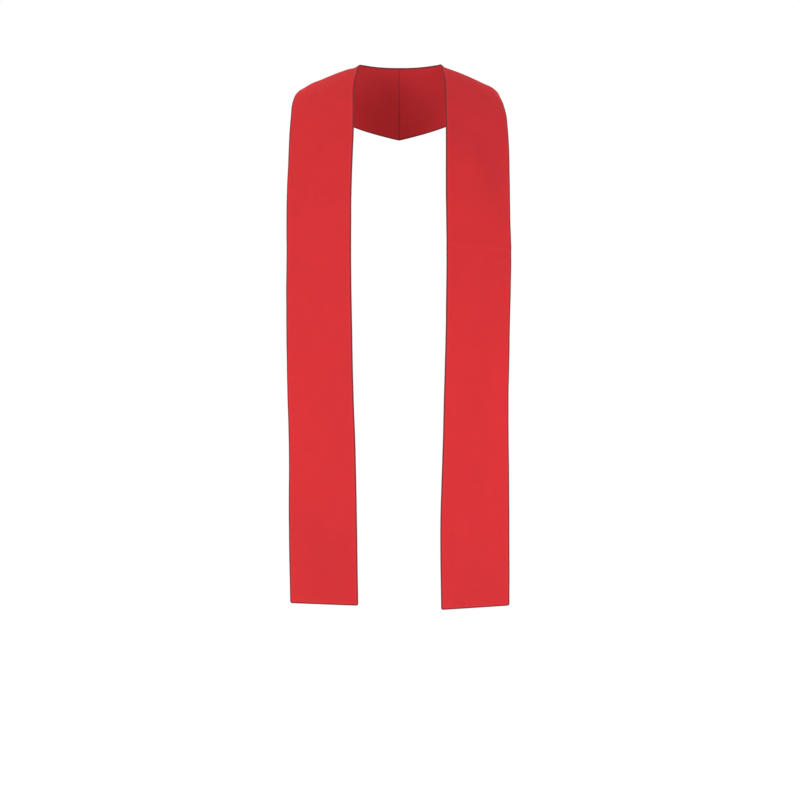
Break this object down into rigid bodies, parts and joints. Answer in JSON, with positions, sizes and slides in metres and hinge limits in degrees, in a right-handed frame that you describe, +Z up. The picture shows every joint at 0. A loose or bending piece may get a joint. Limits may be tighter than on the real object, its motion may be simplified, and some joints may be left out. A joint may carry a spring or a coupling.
{
  "type": "clerical stole",
  "caption": "Plain stole in its worn shape: a broad band seamed at the nape that lies over the shoulders and hangs straight down the front.",
  "frame": {"origin": "the nape: the neck edge of the centre-back seam, where the back of the wearer's neck carries the band", "axes": "+Z up, the wearer faces -Y and +X is the wearer's left"},
  "size_m": [0.4566, 0.2812, 1.1211],
  "materials": {
    "red_cloth": "matt, closely woven polyester cloth with a faint nap"
  },
  "bodies": {
    "root": {"stole_right_half": "red_cloth", "stole_left_half": "red_cloth"}
  },
  "joints": []
}
